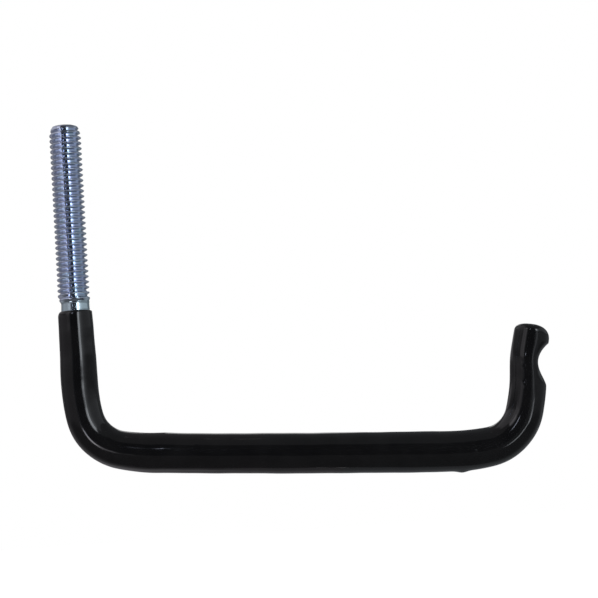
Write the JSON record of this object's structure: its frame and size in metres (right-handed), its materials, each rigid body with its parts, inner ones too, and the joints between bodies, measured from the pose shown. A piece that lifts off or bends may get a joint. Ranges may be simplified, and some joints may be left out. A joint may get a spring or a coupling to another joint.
{
  "type": "cable hook",
  "caption": "Wide square-bent cable hook: a threaded zinc-plated steel rod with a black vinyl dipped bar, short upturned leg and a saddle notch near the tip.",
  "frame": {"origin": "on the thread's axis, at the lower end of the full thread", "axes": "+Z along the thread towards its free end, +X from the threaded leg towards the short leg, +Y square to the hook's plane"},
  "size_m": [0.0903, 0.0072, 0.0689],
  "materials": {
    "zinc_plated_steel": "bright bluish zinc plate over a rolled thread",
    "black_vinyl": "dipped soft vinyl, semi-gloss black"
  },
  "bodies": {
    "root": {"steel_rod": "zinc_plated_steel", "vinyl_coating": "black_vinyl"}
  },
  "joints": []
}
